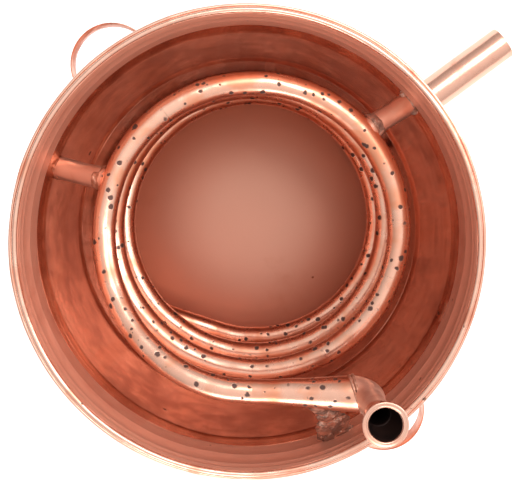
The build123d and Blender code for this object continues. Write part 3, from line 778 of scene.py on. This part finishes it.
# %% Socket with a bored mouth
SOCKET_BORE, SOCKET_OUT, SOCKET_DEPTH = 11.5 * MM, 12.7 * MM, 14 * MM
socket_line = [(SOCKET_BORE, MOUTH.z), (SOCKET_BORE, MOUTH.z - SOCKET_DEPTH),
               (8.4 * MM, riser_end.z), (9.6 * MM, riser_end.z),
               (SOCKET_OUT, MOUTH.z - SOCKET_DEPTH), (SOCKET_OUT, MOUTH.z)]
socket = spun([(r, z) for r, z in socket_line], 96, (MOUTH.x, MOUTH.y, 0))
lean = Vector((riser_end.x - MOUTH.x, riser_end.y - MOUTH.y, 0))
for vert in socket.verts:
    if vert.co.z < MOUTH.z - SOCKET_DEPTH - MM:
        vert.co += lean
socket_piece = finish_piece("mouth_socket", socket, FITTING, ["inlet_socket"])
socket_piece.data.materials.append(BORE_SHADE)
# Faces in the bore more than 3 mm down take the near-black material: painted shade.
for face in socket_piece.data.polygons:
    middle = Vector(face.center) - MOUTH
    if hypot(middle.x, middle.y) < SOCKET_BORE + 0.3 * MM and middle.z < -3 * MM:
        face.material_index = 1

# %% Lip round the mouth
lip_low, lip_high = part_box("inlet_lip")
LIP_OUT = (lip_high.x - lip_low.x) / 2
lip_line = arc((LIP_OUT - 0.9 * MM, MOUTH.z + 0.6 * MM), 0.85 * MM, -120, 140, 9)
lip_line += arc((SOCKET_BORE + 0.9 * MM, MOUTH.z + 0.5 * MM), 0.85 * MM, 40, 200, 7)
lip_line += [(SOCKET_BORE + 0.1 * MM, MOUTH.z - 1.6 * MM), (LIP_OUT - 2 * MM, MOUTH.z - 1.7 * MM)]
finish_piece("mouth_lip", dented(spun(lip_line, 128, (MOUTH.x, MOUTH.y, 0)), 0.2 * MM, 90.0), RIM,
             ["inlet_lip"])

# %% [markdown]
# ## Stays and their solder
# Three short tubes hold the worm off the wall. Their ends were saddled to the tube and floated
# in solder; two joints are neat, and the one under the inlet is a rough, much repaired lump.
# Each stay is a carried ring that swells a little at both ends. The solder is a sleeve whose
# size follows noise, and the rough joint gets extra lumps.
# %% Stay tubes
def turn_at(azimuth):
    return ((-90.0 - azimuth) % 360.0) / 360.0


def wall_point(azimuth, z):
    rise = (z - STEP_Z) / (SHOULDER_Z - STEP_Z)
    radius = STEP_R + (SHOULDER_R - STEP_R) * rise if z < SHOULDER_Z else BAND_R
    return Vector((radius * cos(radians(azimuth)), radius * sin(radians(azimuth)), z))


south_from = inlet_start + inlet_run * ((50 * MM - inlet_start.x) / inlet_run.x)
STAYS = {
    "stay_west": (worm_point(turn_at(160.0)), wall_point(159.8, RIM_Z - 88 * MM)),
    "stay_north": (worm_point(turn_at(42.0)), wall_point(40.0, RIM_Z - 80 * MM)),
    "stay_south": (south_from, wall_point(-65.2, RIM_Z - 58 * MM)),
}


def rod_places(start, end, sizes, from_share=0.0, to_share=1.0):
    along = end - start
    side = along.cross(UP)
    last = len(sizes) - 1
    shares = [from_share + (to_share - from_share) * index / last for index in range(last + 1)]
    return [facing_place(start + along * share, along, side, size)
            for share, size in zip(shares, sizes)]


for name, (start, end) in STAYS.items():
    sizes = [TUBE_R * (0.97 + 0.03 * cos(2 * pi * index / 24)) for index in range(25)]
    rod = carried(rod_places(start, end, sizes, 0.1, 1.0), 40)
    finish_piece(name + "_tube", dented(rod, 0.5 * MM, 80.0, 6.0), SATIN, [name])

# %% Solder sleeves and lumps
def sleeve(bm, start, end, from_share, to_share, first, last, seed):
    rings = 10
    sizes = [first + (last - first) * index / rings for index in range(rings + 1)]
    part = carried(rod_places(start, end, sizes, from_share, to_share), 40)
    dented(part, 1.3 * MM, 190.0, seed)
    mesh = bpy.data.meshes.new("sleeve_scratch")
    part.to_mesh(mesh)
    part.free()
    bm.from_mesh(mesh)
    bpy.data.meshes.remove(mesh)


def lump(bm, place, size, seed):
    ball = bmesh.new()
    bmesh.ops.create_icosphere(ball, subdivisions=5, radius=1.0)
    for vert in ball.verts:
        vert.co *= 1 + 0.26 * noise.noise(vert.co * 2.4 + Vector((seed, seed, 0)))
        vert.co *= 1 + 0.12 * noise.noise(vert.co * 7.0 + Vector((0, seed, seed)))
    bmesh.ops.transform(ball, matrix=place @ Matrix.Diagonal((*size, 1)), verts=ball.verts)
    mesh = bpy.data.meshes.new("lump_scratch")
    ball.to_mesh(mesh)
    ball.free()
    bm.from_mesh(mesh)
    bpy.data.meshes.remove(mesh)


def stay_frame(start, end, share):
    along = (end - start).normalized()
    return facing_place(start + (end - start) * share, along, along.cross(UP))


at_worm, at_wall = bmesh.new(), bmesh.new()
for seed, (name, (start, end)) in enumerate(STAYS.items()):
    reach = (end - start).length
    rough = {"stay_south": 1.0, "stay_north": 0.3, "stay_west": -0.5}[name]
    saddle = (TUBE_R if name != "stay_south" else 12 * MM) / reach
    sleeve(at_worm, start, end, saddle * 0.8, saddle + 4.5 * MM / reach,
           TUBE_R + (1.6 + rough) * MM, TUBE_R + 0.1 * MM, seed * 3.0)
    sleeve(at_wall, start, end, 1.0 - 4.0 * MM / reach, 1.0, TUBE_R + 0.1 * MM,
           TUBE_R + (1.0 + 1.5 * rough) * MM, seed * 3.0 + 1.0)
start, end = STAYS["stay_south"]
for seed, (share, side, wide, long) in enumerate([(0.36, -2, 9, 8), (0.66, 0, 13, 13), (0.80, 3, 11, 10),
                                                  (0.90, -4, 9, 8)]):
    spot = stay_frame(start, end, share) @ Matrix.Translation((side * MM, -5.6 * MM, 0))
    lump(at_worm if share < 0.6 else at_wall, spot, (wide * MM, 4.6 * MM, long * MM), seed)
start, end = STAYS["stay_north"]
for seed, side in enumerate((-8, -3, 7)):
    spot = stay_frame(start, end, 0.93) @ Matrix.Translation((side * MM, -4.5 * MM, 0))
    lump(at_wall, spot, (3.2 * MM, 2.6 * MM, 3.0 * MM), seed + 20.0)
solders = [finish_piece("solder_by_worm", at_worm, SOLDER, ["stay_solder_at_worm"], 60),
           finish_piece("solder_by_wall", at_wall, SOLDER, ["stay_solder_at_wall"], 60)]
for piece in solders:
    piece.data.materials.append(BEAD)
    for face in piece.data.polygons:
        face.material_index = int(face.center.x < 0)

# %% [markdown]
# ## Spout
# The spirit leaves through a wide, straight pipe, the brightest piece of all. It is spun as a
# thin wall with a rounded open end, lying on its side, so the spin's axis is the pipe's own.
# %% Outlet pipe
OUTLET_ANGLE = radians(36.4)
outlet_along = Vector((cos(OUTLET_ANGLE), sin(OUTLET_ANGLE), 0))
outlet_side = Vector((sin(OUTLET_ANGLE), -cos(OUTLET_ANGLE), 0))
OUTLET_Z = (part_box("outlet_pipe")[0].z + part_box("outlet_pipe")[1].z) / 2
OUTLET_R, OUTLET_WALL = 15.5 * MM, 1.2 * MM
outlet_axis = outlet_side * 4.4 * MM + UP * OUTLET_Z
PIPE_FROM, PIPE_TO = 117 * MM, 294 * MM


def spun_along(outline, steps=128):
    """Spin an outline of (distance, radius) points round the outlet's axis."""
    bm = bmesh.new()
    corners = [bm.verts.new(outlet_axis + outlet_along * d + UP * r) for d, r in outline]
    edges = [bm.edges.new((a, b)) for a, b in zip(corners, corners[1:] + corners[:1])]
    bmesh.ops.spin(bm, geom=corners + edges, cent=outlet_axis, axis=outlet_along, angle=2 * pi,
                   steps=steps, use_merge=True)
    bmesh.ops.remove_doubles(bm, verts=bm.verts, dist=1e-7)
    return bm


pipe_line = [(PIPE_FROM, OUTLET_R - OUTLET_WALL), (PIPE_FROM, OUTLET_R)]
pipe_line += [(PIPE_FROM + (PIPE_TO - 1 * MM - PIPE_FROM) * index / 30, OUTLET_R)
              for index in range(1, 31)]
pipe_line += [(PIPE_TO - 0.3 * MM, OUTLET_R - 0.15 * MM), (PIPE_TO, OUTLET_R - 0.5 * MM),
              (PIPE_TO - 0.1 * MM, OUTLET_R - OUTLET_WALL + 0.1 * MM),
              (PIPE_TO - 0.8 * MM, OUTLET_R - OUTLET_WALL)]
finish_piece("spout_pipe", dented(spun_along(pipe_line), 0.15 * MM, 30.0), SPOUT,
             ["outlet_pipe"])

# %% [markdown]
# ## Handles
# Each handle is one strip of thick copper, bent to a half circle with its two ears turned back
# to lie on the band. The strip's section has rounded edges, so it is a flattened ring carried
# along the bends rather than a box.
# %% Two strap handles
STRAP_R, STRAP_THICK, STRAP_TALL = 31.5 * MM, 2.2 * MM, 22 * MM
STRAP_MIDDLE_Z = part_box("handle_left")[0].z + STRAP_TALL / 2
BAND_OUT = BAND_R + SHEET
HANDLES = {"handle_left": 127.6, "handle_right": -51.4}


def strap_line():
    """Plan of a strap about azimuth 0: an ear, a tight fold, the loop, a fold and an ear."""
    middle = BAND_OUT + STRAP_THICK / 2
    loop_r = STRAP_R - STRAP_THICK / 2
    fold = 78.0
    loop = [Vector((middle + loop_r * cos(radians(a)), loop_r * sin(radians(a)), 0))
            for a in range(-int(fold), int(fold) + 1, 6)]
    ear = [Vector((middle * cos(radians(a)), middle * sin(radians(a)), 0))
           for a in (17.6, 16.0, 14.0, 12.4)]
    lower = [Vector((point.x, -point.y, 0)) for point in ear]
    return lower + loop + list(reversed(ear))


for name, azimuth in HANDLES.items():
    turn = Matrix.Rotation(radians(azimuth), 4, "Z")
    line = strap_line()
    places = []
    for index, point in enumerate(line):
        along = line[min(index + 1, len(line) - 1)] - line[max(index - 1, 0)]
        place = facing_place(point + UP * STRAP_MIDDLE_Z, along, UP)
        squash = Matrix.Diagonal((STRAP_TALL / 2, STRAP_THICK / 2, 1, 1))
        places.append(turn @ place @ squash)
    strap = carried(places, 32)
    finish_piece(name + "_strap", strap, STRAP, [name], 60)

# %% [markdown]
# ## Pieces that keep the frame's own shape
# What is hidden or plain is right as the frame gives it: the worm's tail along the base, the
# collar, the fillets and beads of solder. They only get a finish.
# %% Finishes for the frame's own nodes
KEPT = {"worm_tail_1": WORM, "worm_tail_2": WORM, "worm_tail_3": WORM, "outlet_collar": SPOUT,
        "outlet_solder": SOLDER, "base_solder": BEAD, "shoulder_solder": BEAD,
        "handle_solder": SOLDER, "rim_wire": IRON}
for name, material in KEPT.items():
    nodes[name].data.materials.clear()
    nodes[name].data.materials.append(material)
print(len(KEPT), "nodes keep their shape")
